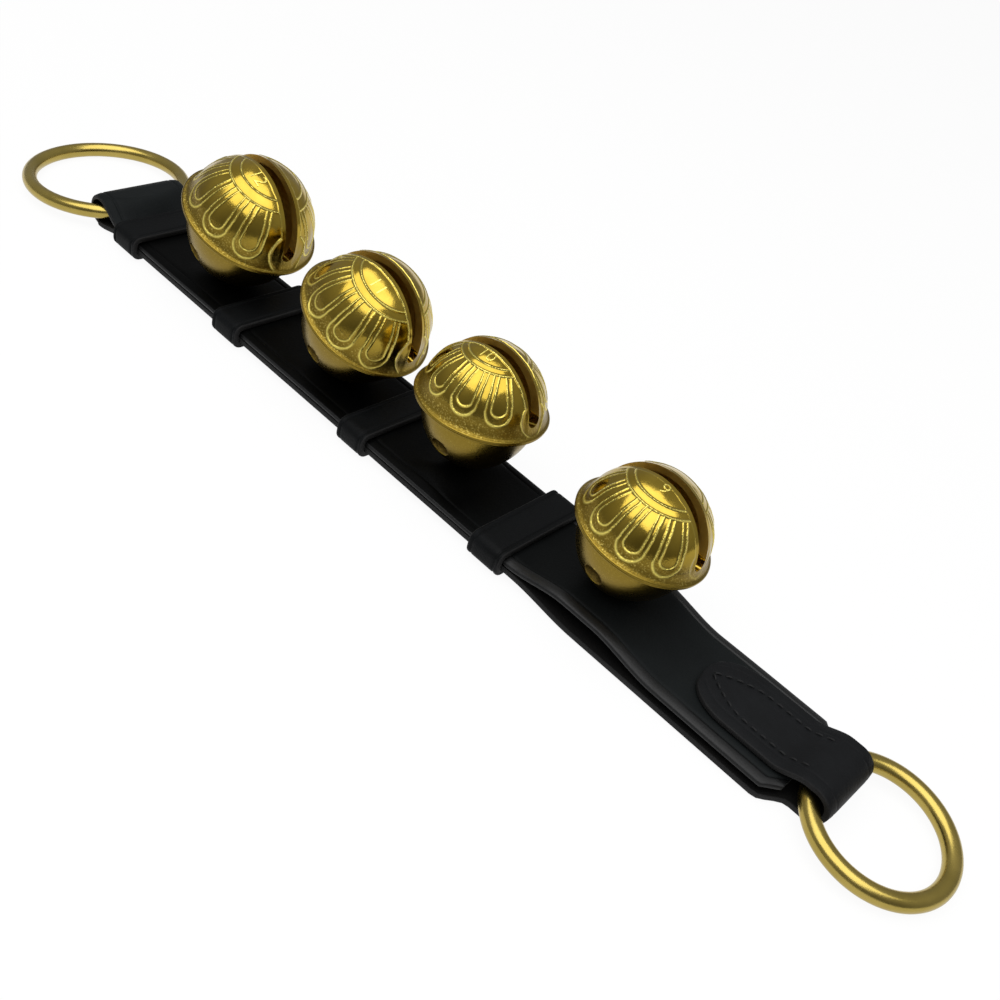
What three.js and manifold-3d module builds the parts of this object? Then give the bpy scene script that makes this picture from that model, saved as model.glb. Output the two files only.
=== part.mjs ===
// Sleigh bell door hanger: a folded leather strap that carries four cast bells and two rings.
// Millimetres, +Z up. The hanger lies on its back on the plane z = 0, with its length along X.
// The upper (larger) ring is at -X, the lower ring at +X. Stations are measured along X from the
// outer end of the upper fold.
import * as THREE from 'three';
import { mergeVertices } from 'three/addons/utils/BufferGeometryUtils.js';
import Module from 'manifold-3d';

const wasm = await Module();
wasm.setup();

// Strap
const strapWidth = 38.1;
const plyThickness = 2.2;
const plyGap = 0.4;
const floorGap = 0.2;
const lowerEndLength = 91.9;
const frontPlyEndGap = 4.1;
const endCornerClip = 5.0;
const tabWidth = 26.0;
const tabLength = 54.0;
const tabTipLength = 15.0;
const tabTipWidth = 5.0;
const neckTaperLength = 9.0;
const neckSetback = 4.5;
const tabRiseLength = 15.0;
const tabRiseEnd = 3.0;

// Front ply's slack between the last keeper and the tab
const slackHeight = 3.9;
const slackRun = 13.0;
const slackFall = 26.0;
const slackTabGap = 6.0;
const slackKeeperGap = 1.0;
const sinkDelay = 4.0;

// Leather raised round a bell's shank
const lensReach = 9.0;
const lensSpread = 1.5;
const lensPinMargin = 3.0;

// Keepers, from the upper ring down
const upperKeeperStation = 28.4;
const keeperAfterBell = [21.2, 25.0, 34.2];
const keeperWidth = [14.5, 14.5, 13.0, 14.0];
const keeperThickness = 2.2;
const keeperGap = 0.3;
const keeperCorner = 2.4;

// Rings
const upperRingBore = 56.2;
const lowerRingBore = 38.1;
const ringWire = 5.8;
const loopRoom = 1.6;
const ringEdgeReach = 0.0;
const wrapLead = 0.5;

// Bells, from the upper ring down
const upperEndLength = 74.2;
const bellPitchUpper = 69.2;
const bellPitchMiddle = 57.8;
const bellPitchLower = 71.8;
const bellFlange = [53.0, 50.8, 46.8, 46.2];
const bellLean = [21.4, 24.0, 4.7, 10.5];
const bellLeanTurn = [19.0, 16.0, 81.0, 43.0];
const bellSlotTurn = [-1.0, 6.0, 4.0, 0.0];
const bellPinTurn = [0.0, 0.0, -81.0, 0.0];
const bellHoleOffset = [-0.85, -1.2, 0.95, -1.2];
const bellRise = [0.8, 0.8, 3.4, 0.0];
const bellSeatGap = 0.3;
const domeRatio = 0.914;
const domeHeightRatio = 0.92;
const bowlRatio = 0.852;
const bowlDepthRatio = 1.003;
const bellWall = 2.0;
const flangeThickness = 1.8;
const flangeGroove = 0.7;
const slotWidth = 5.6;
const slotEndAngle = 80.0;
const soundHoleDiameter = 7.0;
const soundHoleDrop = 38.0;

// Shank, pin and pellet
const shankWidth = 6.4;
const shankRoot = 2.5;
const shankEyeWall = 0.6;
const shankHoleGap = 0.45;
const shankCutMargin = 2.0;
const pinDiameter = 1.2;
const pinLength = 11.0;
const pinGap = 0.3;
const bellTwist = 10.0;
const pelletDiameter = 10.0;
const pelletGap = 0.5;

// Stitch along the tab
const threadDiameter = 0.8;
const threadGap = 0.3;
const stitchTipInset = 2.2;
const stitchWidth = 14.6;
const stitchEndInset = 12.5;
const stitchArchLength = 17.0;

// Facet counts
const bellSides = 24;
const hollowSides = 20;
const ringSides = 8;
const ringSteps = 48;
const foldSteps = 10;

const deg = Math.PI / 180;

// Materials
const leather = (shade, roughness) =>
  new THREE.MeshStandardMaterial({ color: shade, roughness: roughness, metalness: 0.0 });
const brass = (shade, roughness) =>
  new THREE.MeshStandardMaterial({ color: shade, roughness: roughness, metalness: 1.0 });
const iron = () => new THREE.MeshStandardMaterial({ color: 0x55534f, roughness: 0.6, metalness: 0.9 });

// Heights of the layers
const halfPly = plyThickness / 2;
const backMid = keeperThickness + keeperGap + halfPly;
const frontMid = backMid + plyThickness + plyGap;
const tabMid = frontMid + plyThickness + plyGap;
const frontTop = frontMid + halfPly;
const frontBottom = frontMid - halfPly;
const wireRadius = ringWire / 2;
const loopInner = wireRadius + loopRoom;
const loopMid = loopInner + halfPly;
const loopHeight = floorGap + plyThickness + loopInner;
const backSink = backMid - (loopHeight - loopMid);

// Stations of the bells and of the keepers that follow them
const bellStation = [upperEndLength];
for (const pitch of [bellPitchUpper, bellPitchMiddle, bellPitchLower]) {
  bellStation.push(bellStation[bellStation.length - 1] + pitch);
}
const keeperStation = [upperKeeperStation, ...keeperAfterBell.map((gap, i) => bellStation[i] + gap)];

// The strap ends a set length below the lowest bell
const strapLength = bellStation[3] + lowerEndLength;

// Ring places: each ring turns about a line across the strap, halfway down the bow of its wire
const upperFoldCentre = loopInner + plyThickness;
const lowerFoldCentre = strapLength - loopInner - plyThickness;

function ringPlace(bore, halfWidth, foldCentre, outward) {
  const radius = bore / 2 + wireRadius;
  const chord = Math.sqrt(radius * radius - halfWidth * halfWidth);
  const bow = radius - chord;
  const hinge = foldCentre + outward * (ringEdgeReach - bow / 2);
  const arm = radius - bow / 2;
  const droop = Math.asin((loopHeight - wireRadius) / (arm + radius));
  const tip = hinge + outward * ((arm + radius) * Math.cos(droop) + wireRadius);
  return { radius, bow, hinge, arm, droop, tip, outward };
}

const upperRing = ringPlace(upperRingBore, strapWidth / 2, upperFoldCentre, -1);
const lowerRing = ringPlace(lowerRingBore, tabWidth / 2, lowerFoldCentre, 1);
const middleStation = (upperRing.tip + lowerRing.tip) / 2;
const tabTip = strapLength - tabLength;

// The front ply stops short of the lower ring's wire
const frontPlyLength = lowerRing.hinge - lowerRing.bow / 2 - wireRadius - frontPlyEndGap;

// Smooth step from 0 at a to 1 at b
function step(x, a, b) {
  const u = Math.min(1, Math.max(0, (x - a) / (b - a)));
  return u * u * (3 - 2 * u);
}

// Bump of height 1 at 0 that ends at -1 and 1
function bump(u) {
  return Math.abs(u) >= 1 ? 0 : Math.cos((u * Math.PI) / 2) ** 2;
}

// Slack of the front ply round the lowest bell, and the back ply's fall to the lower loop
const slackStart = keeperStation[3] + keeperWidth[3] / 2 + slackKeeperGap;
const sinkStart = slackStart + sinkDelay;
const slackEnd = tabTip - slackTabGap;

function slack(x) {
  return slackHeight * step(x, slackStart, slackStart + slackRun) * (1 - step(x, slackEnd - slackFall, slackEnd));
}

function sink(x) {
  return backSink * step(x, sinkStart, sinkStart + 2 * slackRun);
}

// Bell places: each bell leans over its shank hole, toward a direction turned from +X to +Y
const pinRadius = pinDiameter / 2;
const eyeRadius = pinRadius + pinGap + shankEyeWall;
const bells = bellFlange.map((flange, i) => {
  const radius = flange / 2;
  const lean = bellLean[i] * deg;
  const turn = bellLeanTurn[i] * deg;
  const pinTurn = bellPinTurn[i] * deg;
  const slotTurn = bellSlotTurn[i] * deg - turn;
  const bowl = bowlRatio * radius;
  const depth = bowlDepthRatio * radius;
  const domeHeight = domeHeightRatio * radius;
  const cavity = bowl - bellWall;
  const reach = Math.hypot(depth * Math.cos(lean), bowl * Math.sin(lean));
  const under = ((depth * depth - bowl * bowl) * Math.sin(lean) * Math.cos(lean)) / reach;
  const low = under * Math.cos(turn);
  const swing = Math.sin(lean) * Math.sin(Math.min(Math.PI / 2, Math.abs(pinTurn) + bellTwist * deg));
  const station = bellStation[i];
  const rise = bellRise[i];
  const lensLength = lensReach + lensSpread * rise;
  const twistDrop = (pinLength / 2) * swing;
  const pinHeight = frontBottom + rise + slack(station) - pinGap - twistDrop - pinRadius;
  const firstHeight = frontTop + rise + slack(station) + bellSeatGap + reach;
  const lens = station - (firstHeight - pinHeight) * Math.tan(lean) * Math.cos(turn);
  const seatRise = rise * bump((station - low - lens) / lensLength) + slack(station - low);
  const height = frontTop + seatRise + bellSeatGap + reach;
  const offset = bellHoleOffset[i] + (height - pinHeight) * Math.tan(lean) * Math.sin(turn);
  const pinArm = (height - pinHeight) / Math.cos(lean);
  const eyeDrop = (shankWidth / 2) * swing;
  const need = 2 * pinGap + twistDrop + pinRadius + eyeRadius + eyeDrop;
  const drop = Math.max(0, need - plyGap - rise - slack(station));
  return {
    radius, lean, turn, pinTurn, slotTurn, bowl, depth, domeHeight, cavity,
    station, offset, rise, lens, lensLength, height, pinArm, drop,
  };
});

// Leather heights (middle of the ply) at station x and width share t (-1 to 1)
const lensHalf = pinLength / 2 + lensPinMargin;
const lensShare = Math.min(0.6, lensHalf / (strapWidth / 2));

function crown(t) {
  return 1 - step(Math.abs(t), lensShare, 1);
}

function raised(x, t, key) {
  let sum = 0;
  for (const bell of bells) {
    sum += bell[key] * bump((x - bell.lens) / bell.lensLength) * crown(t);
  }
  return sum;
}

const wrapEnd = keeperStation[0] - keeperWidth[0] / 2 - keeperGap;

// How far the plies have closed up behind the upper ring's wire
function closed(x, t) {
  const y = (t * strapWidth) / 2;
  const ringCentre = upperRing.hinge - upperRing.arm;
  const wire = ringCentre + Math.sqrt(upperRing.radius ** 2 - y * y);
  return step(x, wire + wrapLead, wrapEnd);
}

function frontHeight(x, t) {
  const flat = frontMid + raised(x, t, 'rise') + slack(x);
  const open = loopHeight + loopMid;
  return open + (flat - open) * closed(x, t);
}

function backHeight(x, t) {
  const flat = backMid - raised(x, t, 'drop') - sink(x);
  const open = loopHeight - loopMid;
  return open + (flat - open) * closed(x, t);
}

function tabHeight(x) {
  const top = loopHeight + loopMid;
  return tabMid + (top - tabMid) * step(x, lowerFoldCentre - tabRiseLength, lowerFoldCentre - tabRiseEnd);
}

// Half widths of the leather
function tabHalf(x) {
  const u = Math.min(1, Math.max(0, (x - tabTip) / tabTipLength));
  const tip = tabTipWidth / 2;
  return tip + (tabWidth / 2 - tip) * Math.sqrt(1 - (1 - u) * (1 - u));
}

const neckEnd = lowerFoldCentre - neckSetback;

function backHalf(x) {
  return strapWidth / 2 + (tabWidth / 2 - strapWidth / 2) * step(x, neckEnd - neckTaperLength, neckEnd);
}

function frontHalf(x) {
  return strapWidth / 2 - Math.max(0, x - (frontPlyLength - endCornerClip)) * 0.9;
}

// Stations for a run of leather: the ends and even steps through each feature
function stations(from, to, features) {
  const list = [from, to];
  for (const [a, b, n] of features) {
    for (let i = 0; i <= n; i += 1) {
      list.push(a + ((b - a) * i) / n);
    }
  }
  list.sort((p, q) => p - q);
  const kept = [];
  for (const x of list) {
    const inside = x >= from && x <= to;
    if (inside && (kept.length === 0 || x - kept[kept.length - 1] > 0.6)) {
      kept.push(x);
    }
  }
  kept[kept.length - 1] = to;
  return kept;
}

// Strap: one strip, tab tip to lower loop, back ply, upper fold, front ply
const shares = [-1, -(1 + lensShare) / 2, -lensShare, 0, lensShare, (1 + lensShare) / 2, 1];
const lensRuns = bells.filter((b) => b.rise > 0).map((b) => [b.lens - b.lensLength, b.lens + b.lensLength, 6]);
const wrapRun = [upperFoldCentre, wrapEnd, 12];
const rows = [];

function addRow(half, place) {
  rows.push(shares.map((t) => {
    const [x, z] = place(t);
    return [x, t * half, z];
  }));
}

for (const x of stations(tabTip, lowerFoldCentre, [
  [tabTip, tabTip + tabTipLength, 6],
  [lowerFoldCentre - tabRiseLength, lowerFoldCentre, 7],
])) {
  addRow(tabHalf(x), () => [x, tabHeight(x)]);
}
for (let i = 1; i < foldSteps; i += 1) {
  const a = Math.PI / 2 - (Math.PI * i) / foldSteps;
  addRow(tabWidth / 2, () => [lowerFoldCentre + loopMid * Math.cos(a), loopHeight + loopMid * Math.sin(a)]);
}
for (const x of stations(upperFoldCentre, lowerFoldCentre, [
  wrapRun,
  ...lensRuns,
  [sinkStart, sinkStart + 2 * slackRun, 6],
  [neckEnd - neckTaperLength, neckEnd, 5],
]).reverse()) {
  addRow(backHalf(x), (t) => [x, backHeight(x, t)]);
}
for (let i = 1; i < foldSteps; i += 1) {
  const a = -Math.PI / 2 - (Math.PI * i) / foldSteps;
  addRow(strapWidth / 2, () => [upperFoldCentre + loopMid * Math.cos(a), loopHeight + loopMid * Math.sin(a)]);
}
for (const x of stations(upperFoldCentre, frontPlyLength, [
  wrapRun,
  ...lensRuns,
  [slackStart, slackStart + slackRun, 6],
  [slackEnd - slackFall, slackEnd, 8],
  [frontPlyLength - endCornerClip, frontPlyLength, 1],
])) {
  addRow(frontHalf(x), (t) => [x, frontHeight(x, t)]);
}

function stripGeometry() {
  const count = rows.length;
  const wide = shares.length;
  const points = [];
  for (const side of [1, -1]) {
    for (let i = 0; i < count; i += 1) {
      for (let j = 0; j < wide; j += 1) {
        const before = rows[Math.max(0, i - 1)][j];
        const after = rows[Math.min(count - 1, i + 1)][j];
        const dx = after[0] - before[0];
        const dz = after[2] - before[2];
        const length = Math.hypot(dx, dz);
        const [x, y, z] = rows[i][j];
        points.push(x - (side * halfPly * dz) / length - middleStation, y, z + (side * halfPly * dx) / length);
      }
    }
  }
  const top = (i, j) => i * wide + j;
  const under = (i, j) => count * wide + i * wide + j;
  const faces = [];
  const quad = (a, b, c, d) => faces.push(a, b, c, a, c, d);
  for (let i = 0; i + 1 < count; i += 1) {
    for (let j = 0; j + 1 < wide; j += 1) {
      quad(top(i, j), top(i + 1, j), top(i + 1, j + 1), top(i, j + 1));
      quad(under(i, j), under(i, j + 1), under(i + 1, j + 1), under(i + 1, j));
    }
    quad(top(i, 0), under(i, 0), under(i + 1, 0), top(i + 1, 0));
    quad(top(i, wide - 1), top(i + 1, wide - 1), under(i + 1, wide - 1), under(i, wide - 1));
  }
  for (let j = 0; j + 1 < wide; j += 1) {
    quad(top(0, j), top(0, j + 1), under(0, j + 1), under(0, j));
    quad(top(count - 1, j), under(count - 1, j), under(count - 1, j + 1), top(count - 1, j + 1));
  }
  const geometry = new THREE.BufferGeometry();
  geometry.setAttribute('position', new THREE.Float32BufferAttribute(points, 3));
  geometry.setIndex(faces);
  return geometry;
}

// Solids for cutting and joining
function solid(geometry) {
  const bare = geometry.clone();
  bare.deleteAttribute('normal');
  bare.deleteAttribute('uv');
  const merged = mergeVertices(bare, 1e-4);
  const mesh = new wasm.Mesh({
    numProp: 3,
    vertProperties: new Float32Array(merged.attributes.position.array),
    triVerts: new Uint32Array(merged.index.array),
  });
  return new wasm.Manifold(mesh);
}

function geometryOf(body) {
  const mesh = body.getMesh();
  const geometry = new THREE.BufferGeometry();
  geometry.setAttribute('position', new THREE.Float32BufferAttribute(new Float32Array(mesh.vertProperties), 3));
  geometry.setIndex(Array.from(mesh.triVerts));
  geometry.computeVertexNormals();
  return geometry;
}

const hanger = new THREE.Group();

function addMesh(parent, name, geometry, material) {
  const mesh = new THREE.Mesh(geometry, material);
  mesh.name = name;
  parent.add(mesh);
  return mesh;
}

// Strap with a round hole for each shank
let strap = solid(stripGeometry());
const shankHoleRadius = Math.hypot(shankWidth / 2, eyeRadius) + shankHoleGap;
for (const bell of bells) {
  const cutLength = plyThickness + 2 * shankCutMargin;
  const cutter = new THREE.CylinderGeometry(shankHoleRadius, shankHoleRadius, cutLength, 20);
  cutter.rotateX(Math.PI / 2);
  cutter.translate(0, 0, -bell.pinArm + pinRadius + pinGap + cutLength / 2 - 0.6);
  cutter.rotateY(bell.lean);
  cutter.rotateZ(bell.turn);
  cutter.translate(bell.station - middleStation, bell.offset, bell.height);
  strap = strap.subtract(solid(cutter));
}
addMesh(hanger, 'strap', geometryOf(strap), leather(0x15171a, 0.55));

// Keepers: leather loops round both plies
function roundedRect(path, halfWidth, low, high, corner) {
  path.moveTo(-halfWidth + corner, low);
  path.lineTo(halfWidth - corner, low);
  path.absarc(halfWidth - corner, low + corner, corner, -Math.PI / 2, 0, false);
  path.lineTo(halfWidth, high - corner);
  path.absarc(halfWidth - corner, high - corner, corner, 0, Math.PI / 2, false);
  path.lineTo(-halfWidth + corner, high);
  path.absarc(-halfWidth + corner, high - corner, corner, Math.PI / 2, Math.PI, false);
  path.lineTo(-halfWidth, low + corner);
  path.absarc(-halfWidth + corner, low + corner, corner, Math.PI, 1.5 * Math.PI, false);
  return path;
}

const acrossToLength = new THREE.Matrix4().makeBasis(
  new THREE.Vector3(0, 1, 0),
  new THREE.Vector3(0, 0, 1),
  new THREE.Vector3(1, 0, 0),
);
const keeperInnerHalf = strapWidth / 2 + keeperGap;
const keeperInnerTop = frontTop + keeperGap;
keeperStation.forEach((station, i) => {
  const outer = roundedRect(
    new THREE.Shape(),
    keeperInnerHalf + keeperThickness,
    0,
    keeperInnerTop + keeperThickness,
    keeperCorner,
  );
  const inner = roundedRect(
    new THREE.Path(),
    keeperInnerHalf,
    keeperThickness,
    keeperInnerTop,
    Math.max(0.2, keeperCorner - keeperThickness),
  );
  outer.holes.push(inner);
  const geometry = new THREE.ExtrudeGeometry(outer, { depth: keeperWidth[i], bevelEnabled: false, curveSegments: 3 });
  geometry.applyMatrix4(acrossToLength);
  const mesh = addMesh(hanger, `keeper_${i + 1}`, geometry, leather(0x1a1c1e, 0.7));
  mesh.position.x = station - keeperWidth[i] / 2 - middleStation;
});

// Rings, each turned down about its line in the loop until its outer end touches z = 0
for (const [name, ring] of [['upper_ring', upperRing], ['lower_ring', lowerRing]]) {
  const pivot = new THREE.Group();
  pivot.position.set(ring.hinge - middleStation, 0, loopHeight);
  pivot.rotation.y = ring.outward * ring.droop;
  hanger.add(pivot);
  const geometry = new THREE.TorusGeometry(ring.radius, wireRadius, ringSides, ringSteps);
  const mesh = addMesh(pivot, name, geometry, brass(0xc8aa55, 0.35));
  mesh.position.x = ring.outward * ring.arm;
}

// Bell profile in its own frame: the flange plane is z = 0, the crown is up
function bellProfile(bell) {
  const dome = domeRatio * bell.radius;
  const half = flangeThickness / 2;
  const bead = flangeThickness / 4;
  const profile = [];
  const bowlStart = Math.acos(Math.min(1, (half + flangeGroove) / bell.depth));
  const bowlSteps = 6;
  for (let i = 0; i <= bowlSteps; i += 1) {
    const a = (bowlStart * i) / bowlSteps;
    profile.push(new THREE.Vector2(i === 0 ? 0 : bell.bowl * Math.sin(a), -bell.depth * Math.cos(a)));
  }
  profile.push(new THREE.Vector2(bell.radius - bead, -half));
  profile.push(new THREE.Vector2(bell.radius, -half + bead));
  profile.push(new THREE.Vector2(bell.radius, half - bead));
  profile.push(new THREE.Vector2(bell.radius - bead, half));
  const domeStart = Math.asin(half / bell.domeHeight);
  const domeSteps = 7;
  for (let i = 0; i <= domeSteps; i += 1) {
    const a = domeStart + ((Math.PI / 2 - domeStart) * i) / domeSteps;
    profile.push(new THREE.Vector2(i === domeSteps ? 0 : dome * Math.cos(a), bell.domeHeight * Math.sin(a)));
  }
  return profile;
}

// Inside of a bell: a ball's lower half for the pellet to roll in, under a taller upper half
function hollowProfile(bell) {
  const profile = [];
  const steps = hollowSides / 2;
  for (let i = 0; i <= steps; i += 1) {
    const a = -Math.PI / 2 + (Math.PI * i) / steps;
    const tall = a < 0 ? bell.cavity : bell.domeHeight - bellWall;
    const edge = i === 0 || i === steps;
    profile.push(new THREE.Vector2(edge ? 0 : bell.cavity * Math.cos(a), tall * Math.sin(a)));
  }
  return profile;
}

// Flat shank with a full round end, bored for the pin
function shankGeometry(bell) {
  const top = -(bell.depth - shankRoot);
  const shape = new THREE.Shape();
  shape.moveTo(eyeRadius, top);
  shape.lineTo(-eyeRadius, top);
  shape.lineTo(-eyeRadius, -bell.pinArm);
  shape.absarc(0, -bell.pinArm, eyeRadius, Math.PI, 2 * Math.PI, false);
  shape.lineTo(eyeRadius, top);
  const bore = new THREE.Path();
  bore.absarc(0, -bell.pinArm, pinRadius + pinGap, 0, 2 * Math.PI, true);
  shape.holes.push(bore);
  const geometry = new THREE.ExtrudeGeometry(shape, { depth: shankWidth, bevelEnabled: false, curveSegments: 8 });
  geometry.translate(0, 0, -shankWidth / 2);
  geometry.rotateX(Math.PI / 2);
  geometry.rotateZ(bell.pinTurn);
  return geometry;
}

bells.forEach((bell, i) => {
  const place = new THREE.Group();
  place.position.set(bell.station - middleStation, bell.offset, bell.height);
  hanger.add(place);
  const turned = new THREE.Group();
  turned.rotation.z = bell.turn;
  place.add(turned);
  const leaning = new THREE.Group();
  leaning.rotation.y = bell.lean;
  turned.add(leaning);

  const shell = new THREE.LatheGeometry(bellProfile(bell), bellSides);
  shell.rotateX(Math.PI / 2);
  let body = solid(shell);
  body = body.add(solid(shankGeometry(bell)));
  const hollow = new THREE.LatheGeometry(hollowProfile(bell), hollowSides);
  hollow.rotateX(Math.PI / 2);
  body = body.subtract(solid(hollow));
  const slotFoot = bell.domeHeight * Math.cos(slotEndAngle * deg);
  const slotBox = new THREE.BoxGeometry(2.2 * bell.radius, slotWidth, bell.radius);
  slotBox.translate(0, 0, slotFoot + bell.radius / 2);
  slotBox.rotateZ(bell.slotTurn);
  body = body.subtract(solid(slotBox));
  for (const side of [-1, 1]) {
    const bore = new THREE.CylinderGeometry(soundHoleDiameter / 2, soundHoleDiameter / 2, bell.radius, 18);
    bore.translate(0, bell.radius, 0);
    bore.rotateX(side > 0 ? -soundHoleDrop * deg : Math.PI + soundHoleDrop * deg);
    bore.rotateZ(bell.slotTurn);
    body = body.subtract(solid(bore));
  }
  addMesh(leaning, `bell_${i + 1}`, geometryOf(body), brass(0xb08c32, 0.3));

  const pinGeometry = new THREE.CylinderGeometry(pinRadius, pinRadius, pinLength, 10);
  pinGeometry.rotateZ(bell.pinTurn);
  const pin = addMesh(leaning, `pin_${i + 1}`, pinGeometry, iron());
  pin.position.z = -bell.pinArm;

  const pelletGeometry = new THREE.SphereGeometry(pelletDiameter / 2, 12, 8);
  const pellet = addMesh(place, `pellet_${i + 1}`, pelletGeometry, iron());
  pellet.position.z = -(bell.cavity - pelletGap - pelletDiameter / 2);
});

// Stitch thread: one run up each side of the tab, meeting in a pointed arch at the tip
function stitchPath() {
  const points = [];
  const tip = tabTip + stitchTipInset;
  const end = strapLength - stitchEndInset;
  const place = (x, y) => {
    const z = tabHeight(x) + halfPly + threadGap + threadDiameter / 2;
    return new THREE.Vector3(x - middleStation, y, z);
  };
  const half = stitchWidth / 2;
  const side = [];
  const straight = 8;
  for (let i = 0; i < straight; i += 1) {
    side.push([end + ((tip + stitchArchLength - end) * i) / straight, half]);
  }
  const arch = 8;
  for (let i = 0; i < arch; i += 1) {
    const u = i / arch;
    side.push([tip + stitchArchLength * (1 - u), half * (1 - u ** 1.7)]);
  }
  for (const [x, y] of side) {
    points.push(place(x, y));
  }
  points.push(place(tip, 0));
  for (const [x, y] of side.reverse()) {
    points.push(place(x, -y));
  }
  return new THREE.CatmullRomCurve3(points, false, 'centripetal');
}

const threadSection = new THREE.Shape();
threadSection.absarc(0, 0, threadDiameter / 2, 0, 2 * Math.PI, false);
const threadGeometry = new THREE.ExtrudeGeometry(threadSection, {
  steps: 48,
  curveSegments: 3,
  bevelEnabled: false,
  extrudePath: stitchPath(),
});
addMesh(hanger, 'tab_stitch', threadGeometry, leather(0x0c0d0e, 0.8));

export default hanger;
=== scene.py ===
# Sleigh bell door hanger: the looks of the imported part.
# Sizes are millimetres, as in the part's source, and become metres where a mesh is made.
import math
import bpy
import numpy as np
from mathutils import Matrix, Vector


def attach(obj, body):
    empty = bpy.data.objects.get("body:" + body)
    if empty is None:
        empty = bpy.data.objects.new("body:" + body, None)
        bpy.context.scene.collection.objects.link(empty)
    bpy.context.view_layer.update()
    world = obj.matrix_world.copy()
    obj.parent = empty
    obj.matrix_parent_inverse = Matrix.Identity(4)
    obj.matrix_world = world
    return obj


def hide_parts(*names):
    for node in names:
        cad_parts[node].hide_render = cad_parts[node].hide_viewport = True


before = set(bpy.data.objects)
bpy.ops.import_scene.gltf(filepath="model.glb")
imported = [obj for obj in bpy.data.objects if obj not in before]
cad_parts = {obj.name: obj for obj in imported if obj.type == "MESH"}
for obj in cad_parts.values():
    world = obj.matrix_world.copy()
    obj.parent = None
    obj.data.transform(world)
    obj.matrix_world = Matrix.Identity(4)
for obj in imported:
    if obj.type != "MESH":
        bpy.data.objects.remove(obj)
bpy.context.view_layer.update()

MM = 0.001
DEG = math.pi / 180

# Strap
STRAP_WIDTH = 38.1
PLY = 2.2
PLY_GAP = 0.4
FLOOR_GAP = 0.2
LOWER_END_LENGTH = 91.9
FRONT_PLY_END_GAP = 0.8
END_CORNER_CLIP = 5.0
END_CORNER_SLOPE = 0.9
TAB_WIDTH = 26.0
TAB_LENGTH = 54.0
TAB_TIP_LENGTH = 15.0
TAB_TIP_WIDTH = 5.0
NECK_TAPER_LENGTH = 9.0
NECK_SETBACK = 4.5
TAB_RISE_LENGTH = 15.0
TAB_RISE_END = 3.0

# Front ply's slack between the last keeper and the tab
SLACK_HEIGHT = 3.9
SLACK_RUN = 24.0
SLACK_FALL = 26.0
SLACK_TAB_GAP = 6.0
SLACK_KEEPER_GAP = 1.0
SINK_DELAY = 4.0
SINK_RUN = 26.0

# Leather raised round a bell's shank
LENS_REACH = 9.0
LENS_SPREAD = 1.5
LENS_PIN_MARGIN = 3.0

# Keepers, from the upper ring down
UPPER_KEEPER_STATION = 28.4
KEEPER_AFTER_BELL = (21.2, 25.0, 34.2)
KEEPER_WIDTH = (14.5, 14.5, 13.0, 14.0)
KEEPER_THICKNESS = 2.2
KEEPER_GAP = 0.3
KEEPER_CORNER = 3.6

# Rings
UPPER_RING_BORE = 56.2
LOWER_RING_BORE = 38.1
RING_WIRE = 5.8
LOOP_ROOM = 1.6
WRAP_LEAD = 0.5

# Bells, from the upper ring down
UPPER_END_LENGTH = 74.2
BELL_PITCH = (69.2, 57.8, 71.8)
BELL_NUMBERS = ("12", "11", "10", "9")
BELL_SIZES = {
    "flange": (53.0, 50.8, 46.8, 46.2),
    "hole_offset": (-0.85, -1.2, 0.95, -1.2),
    "rise": (0.8, 0.8, 3.4, 0.0),
    "petal_middle": (94.2, 94.4, 93.9, 91.2),
    "slot_line": (0.3, 1.0, 1.0, 0.2),
    "bulb_line": (1.0, 1.0, 1.0, 0.2),
    "bulb_radius": (7.0, 7.2, 6.0, 5.2),
}
BELL_ANGLES = {
    "lean": (21.4, 24.0, 4.7, 10.5),
    "turn": (19.0, 16.0, 81.0, 43.0),
    "slot_heading": (-1.0, 6.0, 4.0, 0.0),
    "pin_turn": (0.0, 0.0, -81.0, 0.0),
    "inner_arc": (28.5, 32.5, 27.2, 31.0),
    "outer_arc": (38.2, 40.2, 33.6, 38.4),
    "petal_foot": (84.0, 87.2, 76.2, 83.6),
    "arc_tilt": (1.9, 0.3, 0.8, 4.0),
    "number_angle": (18.0, 24.0, 18.0, 17.0),
}
REFERENCE_RADIUS = 23.4
BELL_SEAT_GAP = 0.3
DOME_RATIO = 0.914
DOME_HEIGHT_RATIO = 0.92
BOWL_RATIO = 0.852
BOWL_DEPTH_RATIO = 1.003
BELL_WALL = 2.0
SLOT_WIDTH = 5.6
SLOT_END_ANGLE = 80.0
SOUND_HOLE_DIAMETER = 7.0
SOUND_HOLE_DROP = 38.0

# Shank, pin and pellet
SHANK_WIDTH = 6.4
SHANK_ROOT = 2.5
SHANK_EYE_WALL = 0.6
SHANK_HOLE_GAP = 0.45
SHANK_CUT_MARGIN = 2.0
SHANK_CUT_LEAD = 0.6
PIN_DIAMETER = 1.2
PIN_LENGTH = 11.0
PIN_GAP = 0.3
BELL_TWIST = 10.0
PELLET_DIAMETER = 10.0
PELLET_GAP = 0.5
PELLET_POLE_DENT = 0.1

# Stitch along the tab
THREAD_DIAMETER = 0.76
STITCH_PITCH = 3.4
STITCH_GAP = 0.7
STITCH_TIP_INSET = 2.2
STITCH_WIDTH = 14.6
STITCH_END_INSET = 12.5
STITCH_ARCH_LENGTH = 17.0
STITCH_ARCH_POWER = 1.7
STITCH_END_SINK = 0.45
STITCH_ARCH_RISE = 0.72

# Camera at the photograph's view
CAMERA_PLACE = (0.211809, -0.250126, 0.252400)
CAMERA_TURN = (49.5036, -13.2174, 44.5307)
CAMERA_LENS = 41.511
CAMERA_SHIFT = (0.0016, -0.0004)

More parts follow.
